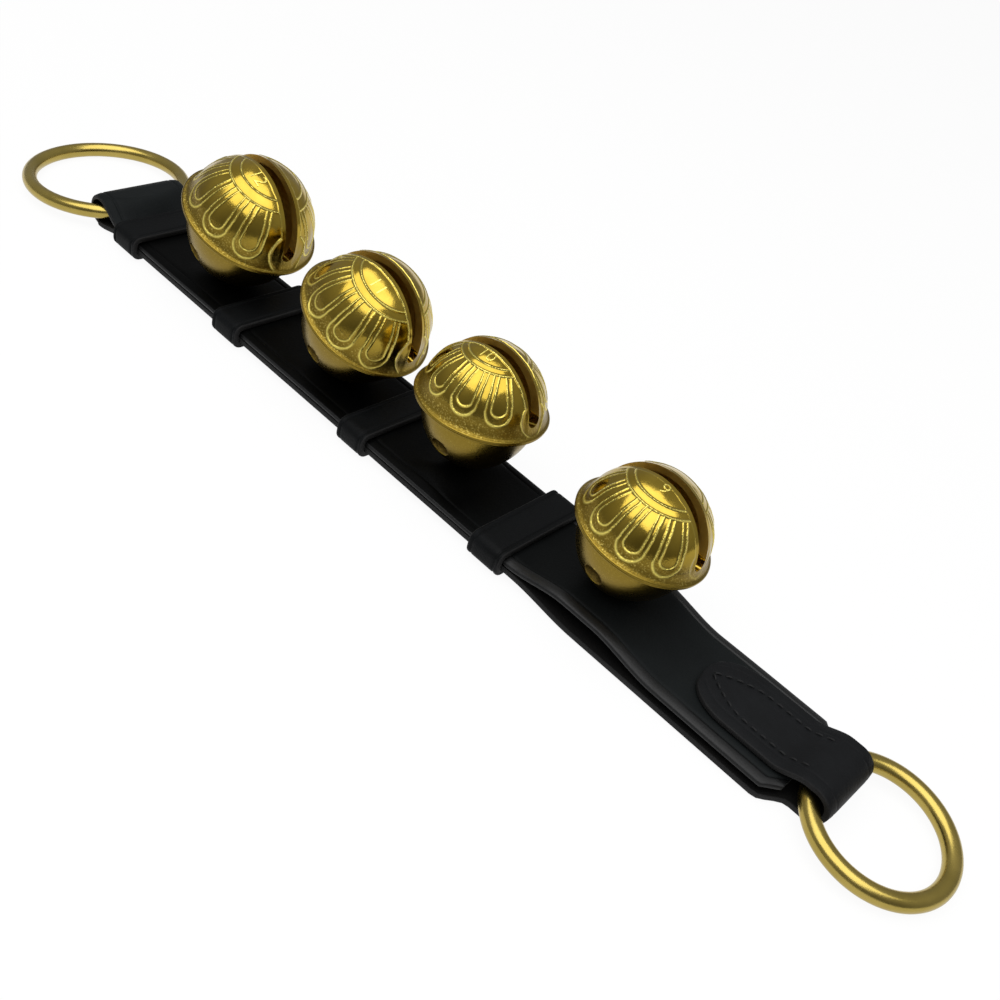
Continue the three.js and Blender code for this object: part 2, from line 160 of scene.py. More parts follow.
# Heights of the layers
HALF_STRAP = STRAP_WIDTH / 2
HALF_PLY = PLY / 2
BACK_MID = KEEPER_THICKNESS + KEEPER_GAP + HALF_PLY
FRONT_MID = BACK_MID + PLY + PLY_GAP
TAB_MID = FRONT_MID + PLY + PLY_GAP
FRONT_TOP = FRONT_MID + HALF_PLY
FRONT_BOTTOM = FRONT_MID - HALF_PLY
WIRE_RADIUS = RING_WIRE / 2
LOOP_INNER = WIRE_RADIUS + LOOP_ROOM
LOOP_MID = LOOP_INNER + HALF_PLY
LOOP_HEIGHT = FLOOR_GAP + PLY + LOOP_INNER
BACK_SINK = BACK_MID - (LOOP_HEIGHT - LOOP_MID)

# Stations along the strap from the outer end of the upper fold
bell_station = [UPPER_END_LENGTH]
for pitch in BELL_PITCH:
    bell_station.append(bell_station[-1] + pitch)
keeper_station = [UPPER_KEEPER_STATION]
for at_bell, gap in zip(bell_station, KEEPER_AFTER_BELL):
    keeper_station.append(at_bell + gap)
strap_length = bell_station[3] + LOWER_END_LENGTH
upper_fold = LOOP_INNER + PLY
lower_fold = strap_length - LOOP_INNER - PLY
tab_tip = strap_length - TAB_LENGTH
neck_end = lower_fold - NECK_SETBACK


class Ring:
    """A ring's place: it turns about a line across the strap, halfway down the bow of its wire."""

    def __init__(self, bore, half_width, fold, outward):
        self.radius = bore / 2 + WIRE_RADIUS
        self.bow = self.radius - math.sqrt(self.radius ** 2 - half_width ** 2)
        self.hinge = fold - outward * self.bow / 2
        self.arm = self.radius - self.bow / 2
        self.droop = math.asin((LOOP_HEIGHT - WIRE_RADIUS) / (self.arm + self.radius))
        self.outward = outward
        self.tip = self.hinge + outward * ((self.arm + self.radius) * math.cos(self.droop) + WIRE_RADIUS)


upper_ring = Ring(UPPER_RING_BORE, HALF_STRAP, upper_fold, -1)
lower_ring = Ring(LOWER_RING_BORE, TAB_WIDTH / 2, lower_fold, 1)
middle = (upper_ring.tip + lower_ring.tip) / 2
front_end = lower_ring.hinge - lower_ring.bow / 2 - WIRE_RADIUS - FRONT_PLY_END_GAP
wrap_end = keeper_station[0] - KEEPER_WIDTH[0] / 2 - KEEPER_GAP
slack_start = keeper_station[3] + KEEPER_WIDTH[3] / 2 + SLACK_KEEPER_GAP
slack_end = tab_tip - SLACK_TAB_GAP
sink_start = slack_start + SINK_DELAY


def step(x, a, b):
    """Smooth step from 0 at a to 1 at b."""
    u = np.clip((x - a) / (b - a), 0.0, 1.0)
    return u * u * (3.0 - 2.0 * u)


def bump(u):
    """Bump of height 1 at 0 that ends at -1 and 1."""
    return np.where(np.abs(u) < 1.0, np.cos(np.clip(u, -1.0, 1.0) * math.pi / 2) ** 2, 0.0)


def slack(x):
    falling = step(x, slack_end - SLACK_FALL, slack_end)
    return SLACK_HEIGHT * step(x, slack_start, slack_start + SLACK_RUN) * (1.0 - falling)


class Bell:
    """A bell's sizes and its place on the strap."""

    def __init__(self, i):
        self.name = f"bell_{i + 1}"
        self.number = BELL_NUMBERS[i]
        for key, values in BELL_SIZES.items():
            setattr(self, key, values[i])
        for key, values in BELL_ANGLES.items():
            setattr(self, key, values[i] * DEG)
        self.radius = self.flange / 2
        self.slot_turn = self.slot_heading - self.turn
        self.bowl = BOWL_RATIO * self.radius
        self.depth = BOWL_DEPTH_RATIO * self.radius
        self.dome = DOME_RATIO * self.radius
        self.dome_height = DOME_HEIGHT_RATIO * self.radius
        self.cavity = self.bowl - BELL_WALL
        self.bulb = self.bulb_radius * self.radius / REFERENCE_RADIUS
        self.round_end = SLOT_END_ANGLE * DEG - SLOT_WIDTH / 2 / self.dome
        self.station = bell_station[i]
        self.lens_length = LENS_REACH + LENS_SPREAD * self.rise
        sine = math.sin(self.lean)
        cosine = math.cos(self.lean)
        along = math.tan(self.lean) * math.cos(self.turn)
        reach = math.hypot(self.depth * cosine, self.bowl * sine)
        low = (self.depth ** 2 - self.bowl ** 2) * sine * cosine / reach * math.cos(self.turn)
        swing = sine * math.sin(min(math.pi / 2, abs(self.pin_turn) + BELL_TWIST * DEG))
        local_slack = float(slack(self.station))
        pin_radius = PIN_DIAMETER / 2
        twist_drop = PIN_LENGTH / 2 * swing
        pin_height = FRONT_BOTTOM + self.rise + local_slack - PIN_GAP - twist_drop - pin_radius
        first_height = FRONT_TOP + self.rise + local_slack + BELL_SEAT_GAP + reach
        self.lens = self.station - (first_height - pin_height) * along
        seat_share = float(bump((self.station - low - self.lens) / self.lens_length))
        seat_rise = self.rise * seat_share + float(slack(self.station - low))
        self.height = FRONT_TOP + seat_rise + BELL_SEAT_GAP + reach
        aside = (self.height - pin_height) * math.tan(self.lean) * math.sin(self.turn)
        self.offset = self.hole_offset + aside
        self.pin_arm = (self.height - pin_height) / cosine
        self.eye = pin_radius + PIN_GAP + SHANK_EYE_WALL
        need = 2 * PIN_GAP + twist_drop + pin_radius + self.eye + SHANK_WIDTH / 2 * swing
        self.drop = max(0.0, need - PLY_GAP - self.rise - local_slack)

    def place(self):
        """From a frame with its slot along X, in metres, to the row frame."""
        spot = Vector(((self.station - middle) * MM, self.offset * MM, self.height * MM))
        turned = Matrix.Rotation(self.turn, 4, "Z") @ Matrix.Rotation(self.lean, 4, "Y")
        return Matrix.Translation(spot) @ turned @ Matrix.Rotation(self.slot_turn, 4, "Z")


bells = [Bell(i) for i in range(4)]


# Mesh helpers
def add_object(name, data):
    obj = bpy.data.objects.new(name, data)
    bpy.context.scene.collection.objects.link(obj)
    return obj


def mesh_object(name, points, faces, materials, face_materials=None, sharp=None):
    """A smooth shaded mesh object from points in millimetres."""
    mesh = bpy.data.meshes.new(name)
    mesh.from_pydata((np.asarray(points, float) * MM).tolist(), [], faces)
    for material in materials:
        mesh.materials.append(material)
    if face_materials is not None:
        mesh.polygons.foreach_set("material_index", np.asarray(face_materials, np.int32))
    mesh.polygons.foreach_set("use_smooth", np.ones(len(mesh.polygons), bool))
    mesh.update()
    if sharp is not None:
        mesh.set_sharp_from_angle(angle=sharp * DEG)
    return add_object(name, mesh)


def grid_faces(rows, columns, close_rows=False):
    """Quads over a grid of points whose columns run round a closed outline."""
    faces = []
    last = rows if close_rows else rows - 1
    for i in range(last):
        a = i * columns
        b = ((i + 1) % rows) * columns
        for k in range(columns):
            n = (k + 1) % columns
            faces.append((a + k, b + k, b + n, a + n))
    return faces


def capped_faces(rows, sides):
    """Quads over a grid whose columns are closed rings, and a fan to a pole at each end of it."""
    faces = grid_faces(rows, sides)
    pole = rows * sides
    last = pole - sides
    for k in range(sides):
        n = (k + 1) % sides
        faces.append((pole, k, n))
        faces.append((pole + 1, last + n, last + k))
    return faces


def outward(points, faces):
    """The same faces, turned so that they look out of the solid, by the sign of its volume."""
    fans = [(f[0], f[j], f[j + 1]) for f in faces for j in range(1, len(f) - 1)]
    a, b, c = np.asarray(points, float)[np.array(fans).T]
    if np.sum(a * np.cross(b, c)) < 0:
        return [tuple(reversed(f)) for f in faces]
    return faces


def circle(count):
    """Even angles round a full turn."""
    return np.linspace(0.0, 2 * math.pi, count, endpoint=False)


def turned(reach, around, rise):
    """Points at these distances from the Z axis, angles about it and heights."""
    return np.stack(np.broadcast_arrays(reach * np.cos(around), reach * np.sin(around), rise), axis=-1)


def float_attribute(obj, name, values):
    made = obj.data.attributes.new(name, "FLOAT", "POINT")
    made.data.foreach_set("value", np.asarray(values, np.float32))


def boolean(obj, tools):
    """Applies (operation, tool) pairs to obj in turn and removes the tools."""
    for operation, tool in tools:
        modifier = obj.modifiers.new("boolean", "BOOLEAN")
        modifier.operation = operation
        modifier.object = tool
        modifier.solver = "MANIFOLD"
    evaluated = obj.evaluated_get(bpy.context.evaluated_depsgraph_get())
    made = bpy.data.meshes.new_from_object(evaluated)
    obj.modifiers.clear()
    old = obj.data
    obj.data = made
    made.name = old.name + "_cut"
    bpy.data.meshes.remove(old)
    for operation, tool in tools:
        data = tool.data
        bpy.data.objects.remove(tool)
        bpy.data.meshes.remove(data)


def lathe(name, profile, sides):
    """A closed solid of revolution about Z; the profile starts and ends on the axis."""
    points = [turned(r, circle(sides), z) for r, z in profile[1:-1]]
    rows = len(points)
    points = np.vstack(points + [[[0, 0, profile[0][1]]], [[0, 0, profile[-1][1]]]])
    return mesh_object(name, points, outward(points, capped_faces(rows, sides)), [])


def cylinder(name, radius, low, high, sides):
    return lathe(name, [(0, low), (radius, low), (radius, high), (0, high)], sides)


# Materials
def new_material(name):
    material = bpy.data.materials.new(name)
    material.use_nodes = True
    tree = material.node_tree
    return material, tree, tree.nodes["Principled BSDF"]


def feed(socket, value):
    """Links another socket to this one, or sets its value."""
    if isinstance(value, bpy.types.NodeSocket):
        socket.id_data.links.new(value, socket)
    else:
        socket.default_value = value


def dress(made, values):
    """Feeds a node's inputs by name; any other name is a setting of the node."""
    for key, value in values.items():
        if key in made.inputs:
            feed(made.inputs[key], value)
        else:
            setattr(made, key, value)


def node(tree, kind, **values):
    made = tree.nodes.new(kind)
    dress(made, values)
    return made


def noise(place, scale, detail, roughness):
    values = {"Vector": place, "Scale": scale, "Detail": detail, "Roughness": roughness}
    return node(place.id_data, "ShaderNodeTexNoise", **values).outputs["Fac"]


def ramp(value, low, high, to_low, to_high):
    """Maps value from low..high to to_low..to_high."""
    values = {"Value": value, "From Min": low, "From Max": high, "To Min": to_low, "To Max": to_high}
    return node(value.id_data, "ShaderNodeMapRange", **values).outputs["Result"]


def math_node(operation, a, b):
    tree = (a if isinstance(a, bpy.types.NodeSocket) else b).id_data
    made = node(tree, "ShaderNodeMath", operation=operation)
    feed(made.inputs[0], a)
    feed(made.inputs[1], b)
    return made.outputs[0]


def blend_colour(share, first, second):
    made = node(share.id_data, "ShaderNodeMix", data_type="RGBA")
    feed(made.inputs[0], share)
    for socket, value in ((made.inputs[6], first), (made.inputs[7], second)):
        feed(socket, (*value, 1.0) if isinstance(value, tuple) else value)
    return made.outputs[2]


def bump_node(height, distance, **before):
    """A bump, over another one where that is given as Normal."""
    values = {"Height": height, "Strength": 1.0, "Distance": distance, **before}
    return node(height.id_data, "ShaderNodeBump", **values).outputs["Normal"]


def object_place(tree):
    return node(tree, "ShaderNodeTexCoord").outputs["Object"]


# Stretches of the strap, in metres along X, over which a painted sheen lightens its tone towards the rings
LOWER_SHEEN = (0.040, 0.135)
UPPER_SHEEN = (-0.146, -0.156)


def leather(name, dark, light, gloss, grain, specular, sheen_tone=None):
    """Grained leather: its range of roughness, its grain's depth in metres, and the tone of a painted
    sheen near the rings.
    """
    material, tree, shader = new_material(name)
    place = object_place(tree)
    cells = node(tree, "ShaderNodeTexVoronoi", Vector=place, Scale=1150.0, Randomness=1.0)
    pores = noise(place, 420.0, 4.0, 0.65)
    # Random patches of rubbed tone and roughness; they also make the painted sheen patchy
    wear_and_sheen = noise(place, 55.0, 5.0, 0.6)
    pebble = math_node("MULTIPLY", cells.outputs["Distance"], 0.55)
    height = math_node("ADD", pebble, pores)
    rubbed = ramp(wear_and_sheen, 0.35, 0.7, 0.0, 1.0)
    tone = math_node("MULTIPLY", rubbed, ramp(pores, 0.3, 0.7, 0.6, 1.0))
    body = blend_colour(tone, dark, light)
    # Painted sheen: the base colour lightens towards both rings, in patches
    if sheen_tone is not None:
        along = node(tree, "ShaderNodeSeparateXYZ", Vector=place).outputs["X"]
        lower = ramp(along, *LOWER_SHEEN, 0.0, 1.0)
        upper = ramp(along, *UPPER_SHEEN, 0.0, 1.0)
        sheen_share = math_node("MAXIMUM", lower, upper)
        sheen_share = math_node("MULTIPLY", sheen_share, ramp(wear_and_sheen, 0.3, 0.7, 0.75, 1.0))
        body = blend_colour(sheen_share, body, sheen_tone)
    dress(shader, {
        "Base Color": body,
        "Normal": bump_node(height, grain),
        "Roughness": ramp(wear_and_sheen, 0.3, 0.72, *gloss),
        "Specular IOR Level": specular,
    })
    return material


def leather_edge(name, dark, light, gloss, fuzz):
    """A cut leather edge: fibres that run along the strap."""
    material, tree, shader = new_material(name)
    stretch = node(tree, "ShaderNodeMapping", Vector=object_place(tree), Scale=(0.25, 1.0, 1.0))
    place = stretch.outputs["Vector"]
    fibre = noise(place, 1900.0, 5.0, 0.7)
    patch = noise(place, 140.0, 3.0, 0.6)
    strands = ramp(fibre, 0.4, 0.75, 0.0, 1.0)
    tone = math_node("MULTIPLY", strands, ramp(patch, 0.3, 0.7, 0.3, 1.0))
    dress(shader, {
        "Base Color": blend_colour(tone, dark, light),
        "Normal": bump_node(fibre, fuzz),
        "Roughness": ramp(patch, 0.3, 0.7, *gloss),
        "Specular IOR Level": 0.3,
    })
    return material


def metal(name, tone, other, gloss, ripple, specks):
    """Cast or drawn metal: ripple is the depth in metres of its uneven polish, specks of its pits."""
    material, tree, shader = new_material(name)
    place = object_place(tree)
    cloud = noise(place, 95.0, 5.0, 0.6)
    waves = noise(place, 160.0, 2.0, 0.5)
    pits = noise(place, 2200.0, 3.0, 0.6)
    dress(shader, {
        "Base Color": blend_colour(ramp(cloud, 0.35, 0.7, 0.0, 1.0), tone, other),
        "Normal": bump_node(pits, specks, Normal=bump_node(waves, ripple)),
        "Roughness": ramp(cloud, 0.3, 0.7, *gloss),
        "Metallic": 1.0,
    })
    return material


# Tones of a bell's brass, with a painted highlight on its raised lines and painted shade next to them, and
# the mesh attributes that say where each of them is
BUFFED_BRASS = (0.39, 0.27, 0.034)
CLOUDED_BRASS = (0.50, 0.355, 0.054)
LOWER_DARK_BRASS = (0.21, 0.143, 0.021)
SPECK_BRASS = (0.72, 0.56, 0.14)
PAINTED_SHADE_BRASS = (0.17, 0.11, 0.012)
LINE_HIGHLIGHT_BRASS = (0.90, 0.76, 0.18)
MASK_NAMES = ("line", "painted_shade", "grain", "lower_part")


def bell_metal(name):
    """Cast brass: buffed high up, darker and rougher low down, grainy in its border, with painted shade
    next to its raised lines and a painted highlight on them.
    """
    material, tree, shader = new_material(name)
    place = object_place(tree)
    cloud = noise(place, 85.0, 5.0, 0.62)
    waves = noise(place, 210.0, 2.0, 0.5)
    cast = noise(place, 1700.0, 3.0, 0.6)
    line, painted_shade, grain, lower_part = (
        node(tree, "ShaderNodeAttribute", attribute_name=key).outputs["Fac"] for key in MASK_NAMES
    )
    rough = math_node("MAXIMUM", line, grain)
    body = blend_colour(ramp(cloud, 0.35, 0.7, 0.0, 1.0), BUFFED_BRASS, CLOUDED_BRASS)
    # Darker towards the bottom of the dome and over the bowl
    body = blend_colour(math_node("MULTIPLY", lower_part, 0.95), body, LOWER_DARK_BRASS)
    specks = math_node("MULTIPLY", ramp(cast, 0.55, 0.68, 0.0, 0.8), grain)
    body = blend_colour(specks, body, SPECK_BRASS)
    # Painted shade: darker brass next to the raised lines
    body = blend_colour(math_node("MULTIPLY", painted_shade, 0.4), body, PAINTED_SHADE_BRASS)
    polish = ramp(cloud, 0.3, 0.7, 0.10, 0.17)
    low_down = math_node("MULTIPLY", math_node("POWER", lower_part, 3.0), 0.12)
    polish = math_node("ADD", polish, low_down)
    polish = math_node("ADD", polish, math_node("MULTIPLY", rough, 0.16))
    depth = math_node("MULTIPLY", cast, ramp(rough, 0.0, 1.0, 0.08, 1.0))
    dress(shader, {
        # Painted highlight: the raised lines and the number take a light yellow brass
        "Base Color": blend_colour(line, body, LINE_HIGHLIGHT_BRASS),
        "Normal": bump_node(depth, 0.00022, Normal=bump_node(waves, 0.00006)),
        "Roughness": polish,
        "Metallic": 1.0,
    })
    return material


# The strap's face lightens towards the rings: a painted sheen
strap_face = leather(
    "strap_face", (0.0009, 0.0010, 0.0010), (0.0017, 0.0019, 0.0019), (0.38, 0.54), 0.00007, 0.04,
    sheen_tone=(0.0104, 0.0121, 0.0125),
)
strap_flesh = leather(
    "strap_flesh", (0.0045, 0.0045, 0.0045), (0.0085, 0.008, 0.0075), (0.78, 0.92), 0.00016, 0.1
)
tab_face = leather(
    "tab_face", (0.0038, 0.0042, 0.0048), (0.0074, 0.0081, 0.0091), (0.5, 0.66), 0.00009, 0.12
)
keeper_face = leather(
    "keeper_face", (0.0020, 0.0024, 0.0027), (0.0038, 0.0045, 0.0050), (0.5, 0.66), 0.00009, 0.09
)
# Polished cut edge of the upper plies, with a lighter tone that is a painted highlight; also laid on the
# front ply's free shoulder strip as a painted sheen
burnished_sheen = leather_edge(
    "burnished_edge_sheen", (0.0030, 0.0032, 0.0034), (0.006, 0.0062, 0.0064), (0.34, 0.5), 0.00005
)
raw_edge = leather_edge(
    "raw_edge", (0.0045, 0.0045, 0.0047), (0.012, 0.0115, 0.0115), (0.66, 0.86), 0.00014
)
thread = leather("thread", (0.004, 0.004, 0.0045), (0.010, 0.010, 0.011), (0.55, 0.7), 0.00005, 0.25)
brass_bell = bell_metal("brass_bell")
brass_inside = metal(
    "brass_inside", (0.50, 0.32, 0.055), (0.60, 0.40, 0.08), (0.42, 0.56), 0.00008, 0.00010
)
# Dark brass for the sound holes' bores: painted shade
bore_painted_shade = metal(
    "bore_painted_shade", (0.12, 0.08, 0.016), (0.17, 0.115, 0.028), (0.45, 0.6), 0.00004, 0.00008
)
brass_ring = metal(
    "brass_ring", (0.385, 0.293, 0.072), (0.455, 0.348, 0.092), (0.20, 0.30), 0.00002, 0.00002
)
iron = metal("iron", (0.16, 0.15, 0.14), (0.26, 0.24, 0.22), (0.45, 0.65), 0.00010, 0.00008)


# Strap
LENS_HALF = PIN_LENGTH / 2 + LENS_PIN_MARGIN
LENS_SHARE = min(0.6, LENS_HALF / HALF_STRAP)


def raised(x, t, key):
    crown = 1.0 - step(np.abs(t), LENS_SHARE, 1.0)
    total = np.zeros_like(t)
    for bell in bells:
        total = total + getattr(bell, key) * bump((x - bell.lens) / bell.lens_length) * crown
    return total


def closed(x, t):
    """How far the plies have closed up behind the upper ring's wire."""
    y = t * HALF_STRAP
    wire = upper_ring.hinge - upper_ring.arm + np.sqrt(upper_ring.radius ** 2 - y * y)
    return step(x, wire + WRAP_LEAD, wrap_end)


def front_height(x, t):
    top = LOOP_HEIGHT + LOOP_MID
    flat = FRONT_MID + raised(x, t, "rise") + slack(x)
    return top + (flat - top) * closed(x, t)


def back_height(x, t):
    foot = LOOP_HEIGHT - LOOP_MID
    sink = BACK_SINK * step(x, sink_start, sink_start + SINK_RUN)
    flat = BACK_MID - raised(x, t, "drop") - sink
    return foot + (flat - foot) * closed(x, t)


def tab_height(x):
    top = LOOP_HEIGHT + LOOP_MID
    share = step(x, lower_fold - TAB_RISE_LENGTH, lower_fold - TAB_RISE_END)
    return TAB_MID + (top - TAB_MID) * share


def tab_half(x):
    u = min(1.0, max(0.0, (x - tab_tip) / TAB_TIP_LENGTH))
    tip = TAB_TIP_WIDTH / 2
    return tip + (TAB_WIDTH / 2 - tip) * math.sqrt(1.0 - (1.0 - u) ** 2)


def back_half(x):
    taper = float(step(x, neck_end - NECK_TAPER_LENGTH, neck_end))
    return HALF_STRAP + (TAB_WIDTH / 2 - HALF_STRAP) * taper


def front_half(x):
    return HALF_STRAP - max(0.0, x - (front_end - END_CORNER_CLIP)) * END_CORNER_SLOPE


# Edges of the leather: the crease along them, the shoulder outside it and the rounding, by kind of row
CREASE_INSET = 3.8
CREASE_HALF = 0.85
CREASE_DEPTH = {"front": 0.4, "fold": 0.4, "tab": 0.14, "back": 0.0}
SHOULDER_DROP = {"front": 0.85, "fold": 0.6, "tab": 0.3, "back": 0.0}
SHOULDER_POWER = 1.4
EDGE_ROUND = {"front": 0.8, "fold": 0.8, "tab": 0.45, "back": 0.45}
UNDER_ROUND = 0.4
NARROW_HALF = 8.0
EDGE_ANGLE = 1.3
BAND_POINTS = 8

# Rows along the strip
TAB_ROWS = 68
LOOP_ROWS = 26
BACK_ROWS = 170
WRAP_ROWS = 24
FRONT_ROWS = 270

# Groove that the stitches pull into the tab
SEAM_HALF = 0.8
SEAM_DEPTH = 0.2
SEAM_TIP_LEAD = 0.6
SEAM_END_LEAD = 1.0
SURFACE_TOLERANCE = 0.05

# Slots of the strap's materials
FACE, TAB, BURNISHED_SHEEN, RAW, FLESH = range(5)


def rounded(radius, thick, count):
    """Quarter round from a cut edge to a face: inset, height and whether the point is on the edge."""
    points = []
    for a in np.linspace(0.0, math.pi / 2, count):
        height = thick - radius + radius * math.sin(a)
        points.append((radius * (1 - math.cos(a)), height, a < EDGE_ANGLE))
    return points


def half_outlines(half, thick, rounds, crease, counts):
    """Outlines of a strip, above and below, from its edge inward; crease is inset, half width, depth."""
    inset, crease_half, depth = crease
    upper = rounded(rounds[0], thick, counts[0])
    for u in np.linspace(-1.0, 1.0, 7):
        upper.append((inset + crease_half * u, thick - depth * float(bump(u)), False))
    start = inset + crease_half
    for f in np.linspace(0.0, 1.0, counts[1])[1:]:
        upper.append((start + f * (half - start), thick, False))
    lower = [(o, -v, e) for o, v, e in rounded(rounds[1], thick, 4)]
    for f in np.linspace(0.0, 1.0, counts[2])[1:]:
        lower.append((rounds[1] + f * (half - rounds[1]), -thick, False))
    return upper, lower


def closed_outline(half, upper, lower):
    """The whole outline of a strip, and the count of its points on the upper side."""
    outline = [(o - half, v, e) for o, v, e in upper]
    outline += [(half - o, v, e) for o, v, e in reversed(upper[:-1])]
    outline += [(half - o, v, e) for o, v, e in lower]
    outline += [(o - half, v, e) for o, v, e in reversed(lower[:-1])]
    return outline, 2 * len(upper) - 1


def section(half, kind):
    """Outline across the strap: y, height from mid thickness, whether on the cut edge, points above."""
    shrink = min(1.0, half / NARROW_HALF)
    rounds = (EDGE_ROUND[kind] * shrink, UNDER_ROUND * shrink)
    crease = (CREASE_INSET * shrink, CREASE_HALF * shrink, CREASE_DEPTH[kind] * shrink)
    upper, lower = half_outlines(half, HALF_PLY, rounds, crease, (5, 14, 7))
    drop = SHOULDER_DROP[kind]
    upper = [(o, v - drop * max(0.0, 1.0 - o / crease[0]) ** SHOULDER_POWER, e) for o, v, e in upper]
    outline, grain_points = closed_outline(half, upper, lower)
    y, v, edge = zip(*outline)
    return np.array(y), np.array(v), np.array(edge), grain_points


def stitch_line(x):
    """Distance of the stitch line from the middle at station x."""
    tip = tab_tip + STITCH_TIP_INSET
    u = np.clip((tip + STITCH_ARCH_LENGTH - x) / STITCH_ARCH_LENGTH, 0.0, 1.0)
    return STITCH_WIDTH / 2 * (1.0 - u ** STITCH_ARCH_POWER)


def level_row(x, z):
    """Stations and heights of a row that is straight across the strip."""
    return lambda y, t: (np.full_like(y, x), np.full_like(y, z))


def shaped_row(x, height):
    """Stations and heights of a row whose height changes across the strip."""
    return lambda y, t: (np.full_like(y, x), height(x, t))


def loop_row(fold, angle):
    return level_row(fold + LOOP_MID * math.cos(angle), LOOP_HEIGHT + LOOP_MID * math.sin(angle))


def strap_rows():
    """The strip's rows from the tab's tip to the front ply's end: kind, half width, x and z by y."""
    rows = []
    for x in np.linspace(tab_tip, lower_fold, TAB_ROWS):
        rows.append(("tab", tab_half(x), level_row(x, tab_height(x))))
    for a in np.linspace(math.pi / 2, -math.pi / 2, LOOP_ROWS)[1:-1]:
        rows.append(("tab", TAB_WIDTH / 2, loop_row(lower_fold, a)))
    long_run = np.linspace(lower_fold, wrap_end, BACK_ROWS)
    for x in np.concatenate([long_run, np.linspace(wrap_end, upper_fold, WRAP_ROWS)[1:]]):
        rows.append(("back", back_half(x), shaped_row(x, back_height)))
    for a in np.linspace(-math.pi / 2, -1.5 * math.pi, LOOP_ROWS)[1:-1]:
        rows.append(("fold", HALF_STRAP, loop_row(upper_fold, a)))
    long_run = np.linspace(wrap_end, front_end, FRONT_ROWS)
    for x in np.concatenate([np.linspace(upper_fold, wrap_end, WRAP_ROWS)[:-1], long_run]):
        rows.append(("front", front_half(x), shaped_row(x, front_height)))
    return rows


def unevenness(x, y):
    """Slow waves of soft leather."""
    return 0.07 * np.sin(x / 21.0 + 1.3) * np.cos(y / 12.0) + 0.05 * np.sin(x / 8.7 + y / 9.0 + 0.4)


def make_strap():
    rows = strap_rows()
    grid = []
    edges = []
    for kind, half, place in rows:
        y, v, edge, grain_points = section(half, kind)
        x, z = place(y, y / half)
        if kind == "tab":
            from_stitch = np.abs(np.abs(y) - stitch_line(x)) / SEAM_HALF
            seam_start = tab_tip + STITCH_TIP_INSET - SEAM_TIP_LEAD
            seam_end = strap_length - STITCH_END_INSET + SEAM_END_LEAD
            sewn = (v > HALF_PLY - SURFACE_TOLERANCE) & ((x > seam_start) & (x < seam_end))
            v = v - np.where(sewn, SEAM_DEPTH * np.exp(-from_stitch ** 2), 0.0)
        if kind == "front":
            z = z + unevenness(x, y)
        grid.append((x, y, z, v))
        edges.append(edge)
    x, y, z, v = np.swapaxes(np.array(grid), 0, 1)
    count, wide = x.shape
    dx = np.gradient(x, axis=0)
    dz = np.gradient(z, axis=0)
    length = np.hypot(dx, dz)
    points = np.stack([x - dz / length * v - middle, y, z + dx / length * v], axis=-1).reshape(-1, 3)
    faces = grid_faces(count, wide)
    edge = np.array(edges)
    column = np.arange(wide)
    grain_side = column < grain_points
    # Shoulder strip along both edges of the front ply's grain side
    sheen_band = grain_side & (np.minimum(column, grain_points - 1 - column) <= BAND_POINTS)
    appearance = []
    for i in range(count - 1):
        kind = rows[i][0]
        upper = kind in ("front", "fold")
        free = kind == "front" and x[i, 0] > keeper_station[3]
        for k in range(wide):
            n = (k + 1) % wide
            # Painted sheen: where the front ply stands free, its shoulder strip takes the lighter edge
            # leather
            if free and sheen_band[k] and sheen_band[n]:
                appearance.append(BURNISHED_SHEEN)
            elif edge[i, k] and edge[i, n]:
                appearance.append(BURNISHED_SHEEN if upper else RAW)
            elif not (grain_side[k] and grain_side[n]):
                appearance.append(FLESH)
            else:
                appearance.append(TAB if kind == "tab" else FACE)
    faces.append(tuple(range(wide)))
    faces.append(tuple(reversed(range((count - 1) * wide, count * wide))))
    appearance += [RAW, RAW]
    skins = [strap_face, tab_face, burnished_sheen, raw_edge, strap_flesh]
    strap = mesh_object("strap_leather", points, outward(points, faces), skins, appearance)
    hole_radius = math.hypot(SHANK_WIDTH / 2, bells[0].eye) + SHANK_HOLE_GAP
    cut_length = PLY + 2 * SHANK_CUT_MARGIN
    cutters = []
    for bell in bells:
        start = -bell.pin_arm + PIN_DIAMETER / 2 + PIN_GAP - SHANK_CUT_LEAD
        cutter = cylinder("cutter", hole_radius, start, start + cut_length, 40)
        cutter.data.transform(bell.place())
        cutters.append(("DIFFERENCE", cutter))
    boolean(strap, cutters)
    strap.data.set_sharp_from_angle(angle=50 * DEG)
    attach(strap, "strap")
    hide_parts("strap")


# Keepers
KEEPER_CREASE = (1.9, 0.6, 0.34)
KEEPER_ROUNDS = (0.7, 0.35)
KEEPER_POINT_GAP = 1.3


def keeper_path(half, low, high, corner):
    """Closed rounded rectangle: points and outward normals, evenly close together."""
    arcs = []
    for y, z, start in ((half, low, -90), (half, high, 0), (-half, high, 90), (-half, low, 180)):
        centre = (y - math.copysign(corner, y), z + (corner if z == low else -corner))
        normals = [(math.cos(a * DEG), math.sin(a * DEG)) for a in np.linspace(start, start + 90, 7)]
        arcs.append([(centre[0] + corner * n[0], centre[1] + corner * n[1], *n) for n in normals])
    path = []
    for arc, following in zip(arcs, arcs[1:] + arcs[:1]):
        here = arc[-1]
        dy = following[0][0] - here[0]
        dz = following[0][1] - here[1]
        steps = max(2, int(math.hypot(dy, dz) / KEEPER_POINT_GAP))
        path += arc
        for f in np.linspace(0.0, 1.0, steps + 1)[1:-1]:
            path.append((here[0] + f * dy, here[1] + f * dz, *here[2:]))
    return path


